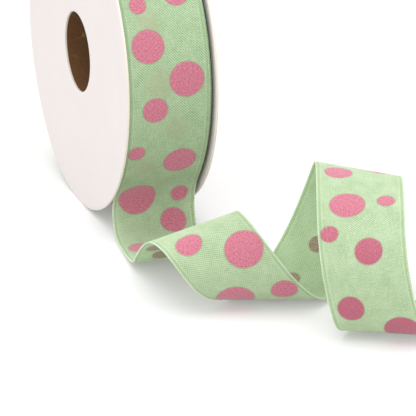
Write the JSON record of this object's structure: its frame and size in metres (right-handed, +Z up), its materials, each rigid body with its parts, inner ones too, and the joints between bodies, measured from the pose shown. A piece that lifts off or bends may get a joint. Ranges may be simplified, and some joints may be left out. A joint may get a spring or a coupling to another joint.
{
  "type": "roll of ribbon",
  "caption": "Roll of dotted fabric ribbon on a board reel that stands on its rim, with a loose end that curls away on the surface.",
  "frame": {"origin": "under the middle of the whole part's bounding box, on the surface that the reel and the loose end rest on", "axes": "+Z up; the reel's axis lies along X, with the flange that faces the viewer towards -X; the loose end runs from the roll towards -Y and +X"},
  "size_m": [0.1182, 0.2958, 0.1498],
  "materials": {
    "board": "matt white paper on board",
    "kraft": "matt brown kraft cardboard",
    "ribbon": "mint green woven ribbon with matt pink printed dots"
  },
  "bodies": {
    "root": {"flange_near": "board", "flange_far": "board", "core_tube": "kraft", "ribbon_winding": "ribbon", "ribbon_loose_end": "ribbon"}
  },
  "joints": []
}
